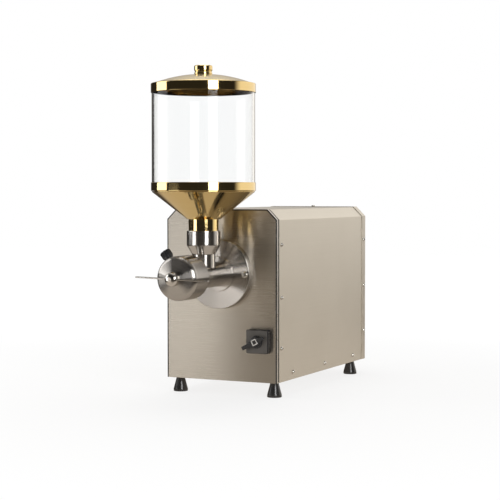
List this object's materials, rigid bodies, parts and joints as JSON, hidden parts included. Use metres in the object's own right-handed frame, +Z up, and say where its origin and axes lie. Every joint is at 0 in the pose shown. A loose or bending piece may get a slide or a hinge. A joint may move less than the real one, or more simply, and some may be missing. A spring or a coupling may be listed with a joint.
{
  "type": "electric grain mill",
  "caption": "Electric nut and grain mill: clear hopper with brass fittings over a steel screw barrel and burr head, driven by a motor in a box housing on rubber feet.",
  "frame": {"origin": "centre of the outline's footprint, on the surface under the feet", "axes": "+Z up, +Y from the grinding head to the rear panel along the drive line, +X to the right seen from the front"},
  "size_m": [0.2588, 0.7274, 0.6664],
  "materials": {
    "brushed_front": "horizontal brushed grain, semi-gloss",
    "satin_cover": "fine satin grain",
    "frame_steel": "plain rolled sheet",
    "edge_black": "satin black edge strip",
    "polished_steel": "turned and polished stainless steel",
    "screw_steel": "bright machine screws",
    "brass": "polished brass",
    "clear_acrylic": "clear cast acrylic",
    "foot_rubber": "moulded black rubber",
    "black_plastic": "moulded black plastic",
    "grey_plastic": "fine-textured dark grey plastic",
    "silver_insert": "silver insert",
    "motor_paint": "blue-grey enamel",
    "motor_casting": "painted casting",
    "core_steel": "laminated electrical steel",
    "copper": "enamelled copper winding",
    "bearing_steel": "ground bearing steel",
    "burr_steel": "hardened ground steel",
    "bronze": "bearing bronze",
    "seal_rubber": "nitrile rubber",
    "fan_plastic": "moulded nylon",
    "capacitor_case": "light grey case"
  },
  "bodies": {
    "housing": {"base_pan": "frame_steel", "wrap_cover": "satin_cover", "front_panel": "brushed_front", "front_edge_trim": "edge_black", "front_frame": "frame_steel", "cover_seal": "edge_black", "rear_flange": "satin_cover", "rear_panel": "satin_cover", "cover_screws": "screw_steel", "disc_screws": "screw_steel", "motor_flange_bolts": "screw_steel", "feet": "foot_rubber", "foot_bolts": "screw_steel", "cable_gland": "black_plastic", "motor_shell": "motor_paint", "stator_core": "core_steel", "stator_windings": "copper", "motor_front_shield": "motor_casting", "motor_rear_shield": "motor_casting", "bearing_outer_rings": "bearing_steel", "fan_cowl": "motor_paint", "terminal_box": "motor_casting", "terminal_lid": "motor_casting", "motor_cradle": "frame_steel", "run_capacitor": "capacitor_case", "capacitor_clamp": "frame_steel", "mounting_disc": "polished_steel", "shaft_seal": "seal_rubber", "grinder_barrel": "polished_steel", "barrel_bush": "bronze", "feed_cup": "polished_steel", "grinder_head": "polished_steel", "switch_base": "black_plastic", "switch_plate": "grey_plastic", "switch_body": "black_plastic", "switch_screws": "screw_steel"},
    "drive": {"motor_shaft": "burr_steel", "rotor_core": "core_steel", "cooling_fan": "fan_plastic", "drive_coupling": "burr_steel", "auger_screw": "polished_steel", "rotating_burr": "burr_steel", "bearing_inner_rings": "bearing_steel"},
    "carrier": {"burr_carrier": "polished_steel", "fixed_burr": "burr_steel"},
    "adjuster": {"adjusting_screw": "burr_steel", "adjusting_wing": "polished_steel"},
    "lock": {"lock_stud": "burr_steel", "lock_knob": "black_plastic"},
    "hopper": {"hopper_tube": "clear_acrylic", "hopper_ring": "brass", "tube_gasket": "seal_rubber", "hopper_funnel": "brass", "hopper_neck": "brass"},
    "lid": {"lid_rim": "brass", "lid_dome": "brass", "lid_knob": "brass", "knob_screw": "screw_steel"},
    "switch": {"switch_lever": "black_plastic", "lever_insert": "silver_insert"}
  },
  "joints": [
    {"name": "drive_spin", "type": "hinge", "parent": "housing", "child": "drive", "pos_m": [0, -0.2223, 0.2495], "axis": [0, 1, 0], "continuous": true},
    {"name": "carrier_slide", "type": "slide", "parent": "housing", "child": "carrier", "axis": [0, -1, 0], "range_m": [0, 0.003]},
    {"name": "adjuster_turn", "type": "hinge", "parent": "carrier", "child": "adjuster", "pos_m": [0, -0.3453, 0.2495], "axis": [0, -1, 0], "range_deg": [0, 360]},
    {"name": "lock_turn", "type": "hinge", "parent": "housing", "child": "lock", "pos_m": [-0.02709, -0.3103, 0.28417], "axis": [-0.6157, 0, 0.788], "range_deg": [0, 180]},
    {"name": "hopper_lift", "type": "slide", "parent": "housing", "child": "hopper", "axis": [0, 0, 1], "range_m": [0, 0.06]},
    {"name": "lid_lift", "type": "slide", "parent": "hopper", "child": "lid", "axis": [0, 0, 1], "range_m": [0, 0.1]},
    {"name": "switch_turn", "type": "hinge", "parent": "housing", "child": "switch", "pos_m": [0.087, -0.1653, 0.115], "axis": [0, 1, 0], "range_deg": [0, 90]}
  ],
  "couplings": [
    {"joint": "carrier_slide", "follows": "adjuster_turn", "m_per_rad": 0.000477}
  ]
}
